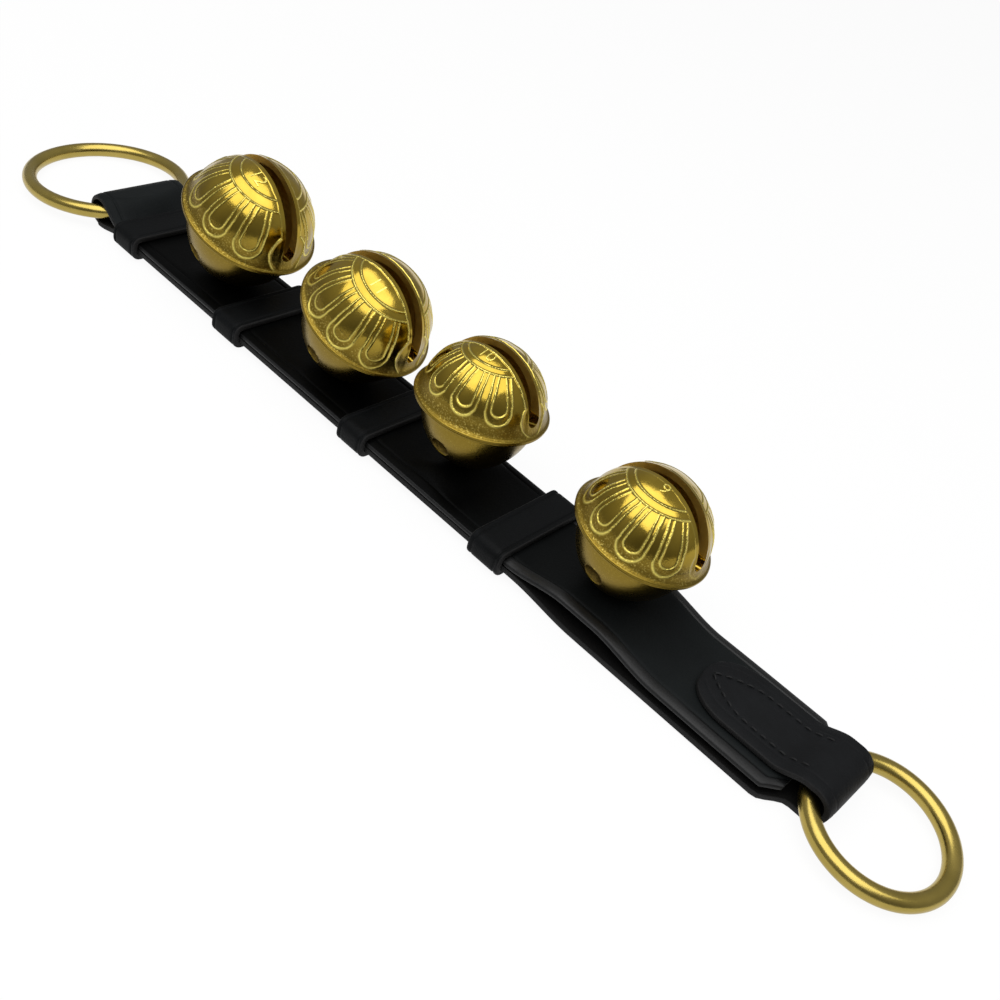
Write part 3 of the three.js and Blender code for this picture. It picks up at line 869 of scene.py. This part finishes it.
def make_keeper(i):
    half_thick = KEEPER_THICKNESS / 2
    half = HALF_STRAP + KEEPER_GAP + half_thick
    top = FRONT_TOP + KEEPER_GAP + half_thick
    path = keeper_path(half, half_thick, top, KEEPER_CORNER - half_thick)
    across = KEEPER_WIDTH[i] / 2
    halves = half_outlines(across, half_thick, KEEPER_ROUNDS, KEEPER_CREASE, (6, 6, 4))
    outline, grain_points = closed_outline(across, *halves)
    centre = keeper_station[i] - middle
    points = []
    for y, z, ny, nz in path:
        for along, v, edge in outline:
            points.append((centre + along, y + ny * v, z + nz * v))
    wide = len(outline)
    faces = grid_faces(len(path), wide, close_rows=True)
    appearance = []
    for k in range(wide):
        n = (k + 1) % wide
        if outline[k][2] and outline[n][2]:
            appearance.append(1)
        else:
            appearance.append(0 if k < grain_points and n < grain_points else 2)
    appearance = appearance * len(path)
    skins = [keeper_face, raw_edge, strap_flesh]
    keeper = mesh_object(f"keeper_leather_{i + 1}", points, outward(points, faces), skins, appearance)
    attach(keeper, f"keeper_{i + 1}")
    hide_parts(f"keeper_{i + 1}")


# Rings
RING_SIDES = 144
WIRE_SIDES = 28
WIRE_UNEVENNESS = 0.004


def make_ring(name, ring):
    a, b = np.meshgrid(circle(RING_SIDES), circle(WIRE_SIDES), indexing="ij")
    wire = WIRE_RADIUS * (1.0 - WIRE_UNEVENNESS * np.sin(5 * a + 0.6) ** 2)
    reach = ring.radius + wire * np.cos(b)
    points = turned(reach, a, wire * np.sin(b)).reshape(-1, 3)
    faces = grid_faces(RING_SIDES, WIRE_SIDES, close_rows=True)
    made = mesh_object(name + "_wire", points, outward(points, faces), [brass_ring])
    made.data.transform(
        Matrix.Translation(Vector(((ring.hinge - middle) * MM, 0.0, LOOP_HEIGHT * MM)))
        @ Matrix.Rotation(ring.outward * ring.droop, 4, "Y")
        @ Matrix.Translation(Vector((ring.outward * ring.arm * MM, 0.0, 0.0)))
    )
    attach(made, name)
    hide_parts(name)


# Bells
BELL_SIDES = 600
DOME_ROWS = 200
BOWL_ROWS = 36
LINE_HEIGHT = 0.24
PETAL_STEP = 34.8
PETAL_HALF_ANGLE = 12.8
PETAL_INNER_INSET = 1.6
PETAL_INNER_RAISE = 1.2
BORDER_INSET = 1.5
NUMBER_HEIGHT = 4.3
NUMBER_RELIEF = 0.26
DIGIT_SHARE = 0.7
SKIRT_SHARE = 0.17

# Half widths of the cast lines, and how much wider the painted shade next to them is
ARC_LINE = 0.29
BORDER_LINE = 0.25
PETAL_LINE = 0.29
PETAL_FOOT_SWELL = 0.12
PETAL_INNER_LINE = 0.27
PAINTED_SHADE_SPREAD = 2.4

# Outline of the flange's rim: inset from its radius, and height
FLANGE_RIM = (
    (0.25, 0.86), (0.06, 0.66), (0.0, 0.42), (0.04, 0.2), (0.26, 0.06), (0.34, -0.05), (0.26, -0.18),
    (0.22, -0.42), (0.3, -0.66), (0.5, -0.82), (0.9, -0.92), (1.6, -1.06), (2.4, -1.3),
)
BOWL_TOP_DROP = 2.3

# Where the dome is grainy, and where it turns darker and rougher towards the bottom, in degrees from its
# crown
GRAIN_RANGE = (66 * DEG, 80 * DEG)
LOWER_PART_RANGE = (44 * DEG, 84 * DEG)


def relief(bell, polar, around):
    """Height of the dome's casting, and how far a point is in a line (which carries a painted highlight),
    in the painted shade next to one, grainy, and in the darker lower part.
    """
    share = bell.radius / REFERENCE_RADIUS
    y = bell.dome * np.sin(polar) * np.sin(around)
    lines = np.zeros_like(polar)
    painted_shade = np.zeros_like(polar)
    cord = 0.94 + 0.06 * np.sin(120 * polar + 70 * around)

    def draw(distance, half_width, where):
        np.maximum(lines, np.exp(-((distance / half_width) ** 2)) * where * cord, out=lines)
        # Painted shade: a wider, darker band on each side of a line
        shadow = np.exp(-((distance / (PAINTED_SHADE_SPREAD * half_width)) ** 2)) * where
        np.maximum(painted_shade, shadow, out=painted_shade)

    border = SLOT_WIDTH / 2 + BORDER_INSET * share
    wander = 0.09 * np.sin(19 * polar + 2 * around) + 0.05 * np.sin(47 * polar + 1.0)
    outside = step(np.abs(y), border - 0.1, border + 0.35)
    level = polar + bell.arc_tilt * np.cos(around)
    for arc in (bell.inner_arc, bell.outer_arc):
        draw(bell.dome * (level - arc) + 0.6 * wander, ARC_LINE, outside)
    from_end = np.hypot(bell.dome * (polar - bell.round_end), y)
    bulb = from_end - bell.bulb
    strip = np.where(polar < bell.round_end, np.abs(y) - border, 1e3)
    near_end = np.minimum(strip, bulb)
    draw(near_end + wander, BORDER_LINE, np.where(strip < bulb, bell.slot_line, bell.bulb_line))
    clear = step(near_end, 0.2, 0.8)
    half_angle = PETAL_HALF_ANGLE * DEG
    middle_polar = bell.petal_foot - half_angle * math.sin(bell.petal_foot - half_angle)
    half = half_angle * bell.dome * np.sin(np.minimum(polar, middle_polar))
    below = bell.dome * (polar - middle_polar)
    inner_below = below + PETAL_INNER_RAISE * share
    top = step(level, bell.outer_arc - 0.6 * DEG, bell.outer_arc + 0.6 * DEG)
    top = top * (0.55 + 0.45 * step(level, bell.outer_arc, bell.outer_arc + 18 * DEG))
    spread = PETAL_LINE + PETAL_FOOT_SWELL * step(polar, middle_polar - 4 * DEG, bell.petal_foot)
    for side in (0.0, 180.0):
        for number in range(4):
            middle_angle = (side + bell.petal_middle + (number - 1.5) * PETAL_STEP) * DEG
            turn = np.mod(around + middle_angle + math.pi, 2 * math.pi) - math.pi
            across = bell.dome * np.sin(polar) * turn
            outer = np.hypot(across, np.maximum(below, 0.0)) - half
            inner = np.hypot(across, np.maximum(inner_below, 0.0)) - half + PETAL_INNER_INSET * share
            draw(outer + 0.7 * wander, spread, clear * top)
            draw(inner + 0.5 * wander, PETAL_INNER_LINE, clear * top)
    grain = step(polar, *GRAIN_RANGE) * (0.6 + 0.4 * np.cos(around + 2.0))
    # Darker and rougher towards the bottom of the dome
    lower_part = step(polar, *LOWER_PART_RANGE)
    hollow = 0.22 * step(-bulb, 0.1, 1.3) * step(np.abs(y), SLOT_WIDTH / 2 - 0.4, SLOT_WIDTH / 2 + 1.6)
    swell = 0.05 * np.sin(3 * around + 0.7) * np.sin(2.2 * polar)
    swell = swell + 0.035 * np.sin(7 * around) * np.sin(5 * polar)
    return swell - hollow + LINE_HEIGHT * lines, (lines, painted_shade, grain, lower_part)


def dome_outline(bell):
    """Outline of the dome and its skirt: points, outward normals and distance along it over the radius."""
    skirt = SKIRT_SHARE * bell.radius
    end = math.acos(skirt / bell.dome_height)
    angle = np.linspace(0.0, end, 600)
    dome = np.column_stack([bell.dome * np.sin(angle), bell.dome_height * np.cos(angle)])
    first = dome[-1]
    last = np.array([bell.radius - 0.55, 0.94])
    bend = np.array([first[0] + 0.035 * bell.radius, 1.05])
    u = np.linspace(0.0, 1.0, 120)[1:, None]
    fillet = (1 - u) ** 2 * first + 2 * u * (1 - u) * bend + u ** 2 * last
    path = np.vstack([dome, fillet])
    run = np.concatenate([[0.0], np.cumsum(np.hypot(*np.diff(path, axis=0).T))])
    at = np.linspace(0.0, run[-1], DOME_ROWS + 1)[1:]
    points = np.column_stack([np.interp(at, run, path[:, 0]), np.interp(at, run, path[:, 1])])
    slope = np.gradient(points, axis=0)
    slope = slope / np.linalg.norm(slope, axis=1)[:, None]
    normals = np.column_stack([-slope[:, 1], slope[:, 0]])
    return points, normals, at / bell.dome


def bell_skin(bell):
    """Points of the whole outside from the crown to the bowl's foot, by rows, with the masks of its lines,
    painted shade, grain and darker lower part.
    """
    around = circle(BELL_SIDES)[None, :]
    outline, normals, polar = dome_outline(bell)
    height, (lines, painted_shade, grain, lower_part) = relief(bell, polar[:, None] + np.zeros_like(around), around)
    fade = 1.0 - step(polar, polar[-1] - 1.6 / bell.dome, polar[-1])[:, None]
    height = height * fade
    appearance = [(lines * fade, 0.0), (painted_shade * fade, 0.0), (grain, 0.15), (lower_part, 1.0)]
    reach = outline[:, :1] + normals[:, :1] * height
    rise = outline[:, 1:] + normals[:, 1:] * height
    rows = [turned(reach, around, rise)]
    profile = [(bell.radius - inset, z) for inset, z in FLANGE_RIM]
    start = math.acos(BOWL_TOP_DROP / bell.depth)
    for a in np.linspace(start, 0.0, BOWL_ROWS + 1)[:-1]:
        profile.append((bell.bowl * math.sin(a), -bell.depth * math.cos(a)))
    rows += [turned(r, around, z) for r, z in profile]
    low = (len(profile), BELL_SIDES)
    appearance = [np.concatenate([top, np.full(low, foot)]) for top, foot in appearance]
    return np.concatenate(rows, axis=0), appearance


def bell_shell(bell):
    grid, appearance = bell_skin(bell)
    rows = grid.shape[0]
    points = np.vstack([grid.reshape(-1, 3), [[0, 0, bell.dome_height], [0, 0, -bell.depth]]])
    faces = outward(points, capped_faces(rows, BELL_SIDES))
    shell = mesh_object(bell.name + "_casting", points, faces, [brass_bell, brass_inside, bore_painted_shade])
    for name, values in zip(MASK_NAMES, appearance):
        float_attribute(shell, name, np.concatenate([values.ravel(), values[0, :1], values[-1, :1]]))
    return shell


def slot_cutter(bell):
    """Slot along X with a round end in each side of the dome."""
    half = SLOT_WIDTH / 2
    low = bell.dome_height * math.cos(bell.round_end)
    far = 1.2 * bell.radius
    corners = [(x, y, z) for x in (-far, far) for y in (-half, half) for z in (low, far)]
    faces = [(0, 1, 3, 2), (4, 6, 7, 5), (0, 4, 5, 1), (2, 3, 7, 6), (0, 2, 6, 4), (1, 5, 7, 3)]
    tools = [mesh_object("cutter", corners, outward(corners, faces), [])]
    for side in (-1, 1):
        bulb = cylinder("cutter", half, 0.6 * bell.radius, far, 36)
        bulb.data.transform(Matrix.Rotation(side * bell.round_end, 4, "Y"))
        tools.append(bulb)
    return tools


def shank(bell):
    """Flat shank with a full round end."""
    top = -(bell.depth - SHANK_ROOT)
    outline = [(bell.eye, top), (-bell.eye, top)]
    for a in np.linspace(math.pi, 2 * math.pi, 17):
        outline.append((bell.eye * math.cos(a), -bell.pin_arm + bell.eye * math.sin(a)))
    count = len(outline)
    points = [(x, y, z) for y in (-SHANK_WIDTH / 2, SHANK_WIDTH / 2) for x, z in outline]
    faces = [tuple(range(count)), tuple(reversed(range(count, 2 * count)))]
    for k in range(count):
        n = (k + 1) % count
        faces.append((k, count + k, count + n, n))
    made = mesh_object("shank", points, outward(points, faces), [])
    made.data.transform(Matrix.Rotation(bell.pin_turn - bell.slot_turn, 4, "Z"))
    return made


def sound_hole(bell, side):
    """Bore with a rounded rim."""
    bore = SOUND_HOLE_DIAMETER / 2
    drop = SOUND_HOLE_DROP * DEG
    mouth = 1.0 / math.hypot(math.cos(drop) / bell.bowl, math.sin(drop) / bell.depth)
    deep = 0.6 * bell.bowl
    rim = ((0.0, -0.5), (0.1, -0.28), (0.4, 0.05), (0.7, 1.2))
    profile = [(0, deep), (bore, deep)] + [(bore + r, mouth + z) for r, z in rim] + [(0, mouth + 1.2)]
    cutter = lathe("cutter", profile, 40)
    cutter.data.transform(Matrix.Rotation(-side * (90 * DEG + drop), 4, "X"))
    return cutter


def make_number(bell):
    """A plain size number cast on the crown, on the side towards -Y."""
    curve = bpy.data.curves.new("number", "FONT")
    curve.body = bell.number
    curve.size = NUMBER_HEIGHT / DIGIT_SHARE * bell.radius / REFERENCE_RADIUS
    curve.offset = -0.1
    curve.align_x = "CENTER"
    curve.align_y = "CENTER"
    curve.extrude = 0.5
    curve.resolution_u = 4
    source = add_object("number", curve)
    evaluated = source.evaluated_get(bpy.context.evaluated_depsgraph_get())
    flat = bpy.data.meshes.new_from_object(evaluated)
    co = np.array([v.co for v in flat.vertices])
    faces = [tuple(p.vertices) for p in flat.polygons]
    bpy.data.objects.remove(source)
    bpy.data.curves.remove(curve)
    bpy.data.meshes.remove(flat)
    polar = bell.number_angle
    spot = bell.dome_height * np.array([0.0, -math.sin(polar), math.cos(polar)])
    up = np.array([0.0, math.cos(polar), math.sin(polar)])
    points = spot + co[:, :1] * np.array([1.0, 0.0, 0.0]) + co[:, 1:2] * up
    oval = np.array([bell.dome, bell.dome, bell.dome_height])
    points = points / np.linalg.norm(points / oval, axis=1)[:, None]
    points = points * (1.0 + (NUMBER_RELIEF * np.sign(co[:, 2:3]) - 0.02) / bell.dome)
    made = mesh_object(bell.name + "_number", points, faces, [brass_bell], sharp=40)
    # The whole number takes the lines' lighter colour, a painted highlight
    float_attribute(made, "line", np.ones(len(points)))
    made.data.transform(bell.place())
    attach(made, bell.name)


def make_bell(bell):
    shell = bell_shell(bell)
    upper = bell.dome_height - BELL_WALL
    hollow = []
    for a in np.linspace(0.0, math.pi, 49):
        tall = bell.cavity if a < math.pi / 2 else upper
        hollow.append((bell.cavity * math.sin(a), -tall * math.cos(a)))
    tools = [("UNION", shank(bell)), ("DIFFERENCE", lathe("cutter", hollow, 96))]
    tools += [("DIFFERENCE", cutter) for cutter in slot_cutter(bell)]
    tools += [("DIFFERENCE", sound_hole(bell, side)) for side in (-1, 1)]
    bore = cylinder("cutter", PIN_DIAMETER / 2 + PIN_GAP, -SHANK_WIDTH, SHANK_WIDTH, 24)
    level = Matrix.Translation((0, 0, -bell.pin_arm * MM)) @ Matrix.Rotation(90 * DEG, 4, "X")
    bore.data.transform(Matrix.Rotation(bell.pin_turn - bell.slot_turn, 4, "Z") @ level)
    tools.append(("DIFFERENCE", bore))
    boolean(shell, tools)
    mesh = shell.data
    centres = np.array([p.center for p in mesh.polygons]) / MM
    tall = np.where(centres[:, 2] < 0, bell.cavity, upper)
    out = np.hypot(centres[:, 0], centres[:, 1])
    inside = np.hypot(out / bell.cavity, centres[:, 2] / tall) < 1.003
    appearance = inside.astype(np.int32)
    for side in (-1, 1):
        drop = SOUND_HOLE_DROP * DEG
        axis = np.array([0.0, side * math.cos(drop), -math.sin(drop)])
        along = centres @ axis
        away = np.linalg.norm(centres - along[:, None] * axis, axis=1)
        in_bore = (along > 0.5 * bell.bowl) & (away < SOUND_HOLE_DIAMETER / 2 + 0.3)
        # Painted shade: faces in the sound holes' bores take the dark bore brass
        appearance[in_bore & ~inside] = 2
    mesh.polygons.foreach_set("material_index", appearance)
    mesh.polygons.foreach_set("use_smooth", np.ones(len(mesh.polygons), bool))
    mesh.set_sharp_from_angle(angle=38 * DEG)
    mesh.transform(bell.place())
    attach(shell, bell.name)
    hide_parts(bell.name)
    make_number(bell)


# Pellets and pins
def make_pellet(i):
    bell = bells[i]
    radius = PELLET_DIAMETER / 2
    polar = np.linspace(0.0, math.pi, 27)[1:-1, None]
    around = circle(48)[None, :]
    dent = 0.06 * (1 + np.sin(3 * around + i) * np.sin(2 * polar))
    dent = dent + 0.05 * (1 + np.sin(5 * around) * np.sin(4 * polar + i))
    reach = radius - dent
    grid = turned(reach * np.sin(polar), around, reach * np.cos(polar))
    pole = radius - PELLET_POLE_DENT
    points = np.vstack([grid.reshape(-1, 3), [[0, 0, pole], [0, 0, -pole]]])
    faces = capped_faces(*grid.shape[:2])
    height = bell.height - (bell.cavity - PELLET_GAP - radius)
    points = points + np.array([bell.station - middle, bell.offset, height])
    made = mesh_object(f"pellet_ball_{i + 1}", points, outward(points, faces), [iron])
    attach(made, f"pellet_{i + 1}")
    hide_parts(f"pellet_{i + 1}")
    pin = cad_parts[f"pin_{i + 1}"]
    pin.data.materials.clear()
    pin.data.materials.append(iron)


# Stitches
def stitch_path():
    """Even points along one side of the tab's seam, from the loop to the tip."""
    tip = tab_tip + STITCH_TIP_INSET
    end = strap_length - STITCH_END_INSET
    bend = tip + STITCH_ARCH_LENGTH
    x = np.concatenate([np.linspace(end, bend, 200), np.linspace(bend, tip, 400)[1:]])
    y = stitch_line(x)
    run = np.concatenate([[0.0], np.cumsum(np.hypot(np.diff(x), np.diff(y)))])
    count = int(round(run[-1] / STITCH_PITCH))
    at = np.linspace(0.0, run[-1], count + 1)
    return np.interp(at, run, x), np.interp(at, run, y)


def make_stitches():
    x, y = stitch_path()
    radius = THREAD_DIAMETER / 2
    around = circle(10)
    points = []
    faces = []
    spans = [(side, i) for side in (-1, 1) for i in range(len(x) - 1)]
    for side, i in spans:
        a = np.array([x[i], side * y[i]])
        b = np.array([x[i + 1], side * y[i + 1]])
        along = (b - a) / np.linalg.norm(b - a)
        a = a + along * STITCH_GAP / 2
        b = b - along * STITCH_GAP / 2
        across = np.array([-along[1], along[0]])
        first = len(points)
        steps = np.linspace(0.0, 1.0, 9)
        for f in steps:
            spot = a + (b - a) * f
            base = float(tab_height(spot[0])) + HALF_PLY - SEAM_DEPTH
            lift = -STITCH_END_SINK + STITCH_ARCH_RISE * math.sin(math.pi * f) ** 0.5
            for angle in around:
                off = radius * math.cos(angle)
                rise = radius * math.sin(angle)
                flat = spot + across * off
                points.append((flat[0] - middle, flat[1], base + lift + rise))
        wide = len(around)
        for face in grid_faces(len(steps), wide):
            faces.append(tuple(first + k for k in face))
        last = first + (len(steps) - 1) * wide
        faces.append(tuple(first + k for k in range(wide)))
        faces.append(tuple(last + k for k in reversed(range(wide))))
    made = mesh_object("tab_seam_stitches", points, outward(points, faces), [thread], sharp=60)
    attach(made, "strap")
    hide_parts("tab_stitch")


make_strap()
for index in range(4):
    make_keeper(index)
    make_bell(bells[index])
    make_pellet(index)
make_ring("upper_ring", upper_ring)
make_ring("lower_ring", lower_ring)
make_stitches()


# Floor
FLOOR_HALF = 4000.0
FLOOR_DROP = 0.3
FLOOR_GLOW = 0.93
FLOOR_TONE = (0.95, 0.95, 0.95, 1.0)
WHITE = (1.0, 1.0, 1.0, 1.0)


def make_floor():
    """A white floor that keeps a soft shadow."""
    signs = ((-1, -1), (1, -1), (1, 1), (-1, 1))
    corners = [(a * FLOOR_HALF, b * FLOOR_HALF, -FLOOR_DROP) for a, b in signs]
    material, tree, shader = new_material("floor_white")
    dress(shader, {"Base Color": FLOOR_TONE, "Roughness": 0.9, "Specular IOR Level": 0.1})
    rays = node(tree, "ShaderNodeLightPath").outputs
    seen = math_node("MAXIMUM", rays["Is Camera Ray"], rays["Is Glossy Ray"])
    seen = math_node("MAXIMUM", seen, rays["Is Transmission Ray"])
    glow = node(tree, "ShaderNodeEmission", Color=WHITE, Strength=1.0)
    mixed = node(tree, "ShaderNodeMixShader", Fac=math_node("MULTIPLY", seen, FLOOR_GLOW))
    feed(mixed.inputs[1], shader.outputs["BSDF"])
    feed(mixed.inputs[2], glow.outputs["Emission"])
    feed(tree.nodes["Material Output"].inputs["Surface"], mixed.outputs["Shader"])
    mesh_object("floor", corners, [(0, 1, 2, 3)], [material])


# Light: the sky's strength from the horizon up, a shade in front of the part, and one lamp above it
SKY_LEVEL = (0.30, 0.42)
SKY_TOP = 0.8
SHADE_BEARING = -45.0
SHADE_HEIGHT = 12.0
SHADE_RANGE = (0.55, 0.95)
SHADE_DEPTH = 0.45
LAMP_PLACE = (0.095, -0.26, 0.80)
LAMP_SIZE = (1.19, 1.0)
LAMP_POWER = 8.6


def toward(direction, bearing, height):
    """Cosine of the angle from a direction of the sky given in degrees."""
    made = node(direction.id_data, "ShaderNodeVectorMath", operation="DOT_PRODUCT")
    feed(made.inputs[0], direction)
    flat = math.cos(height * DEG)
    along = flat * math.cos(bearing * DEG)
    across = flat * math.sin(bearing * DEG)
    feed(made.inputs[1], (along, across, math.sin(height * DEG)))
    return made.outputs["Value"]


def make_light():
    world = bpy.data.worlds.new("studio")
    bpy.context.scene.world = world
    world.use_nodes = True
    tree = world.node_tree
    direction = node(tree, "ShaderNodeTexCoord").outputs["Generated"]
    up = node(tree, "ShaderNodeSeparateXYZ", Vector=direction).outputs["Z"]
    sky = ramp(up, 0.0, SKY_TOP, *SKY_LEVEL)
    front = toward(direction, SHADE_BEARING, SHADE_HEIGHT)
    shade = ramp(front, *SHADE_RANGE, 0.0, SHADE_DEPTH)
    level = math_node("MULTIPLY", sky, math_node("SUBTRACT", 1.0, shade))
    dress(tree.nodes["Background"], {"Color": WHITE, "Strength": level})
    data = bpy.data.lights.new("softbox", "AREA")
    data.shape = "RECTANGLE"
    data.size, data.size_y = LAMP_SIZE
    data.energy = LAMP_POWER
    add_object("softbox", data).location = LAMP_PLACE


def make_camera():
    data = bpy.data.cameras.new("camera")
    data.lens = CAMERA_LENS
    data.sensor_width = 36.0
    data.shift_x, data.shift_y = CAMERA_SHIFT
    data.clip_start = 0.01
    camera = add_object("camera", data)
    camera.location = CAMERA_PLACE
    camera.rotation_euler = [a * DEG for a in CAMERA_TURN]
    bpy.context.scene.camera = camera


make_floor()
make_light()
make_camera()
bpy.context.scene.view_settings.view_transform = "Standard"
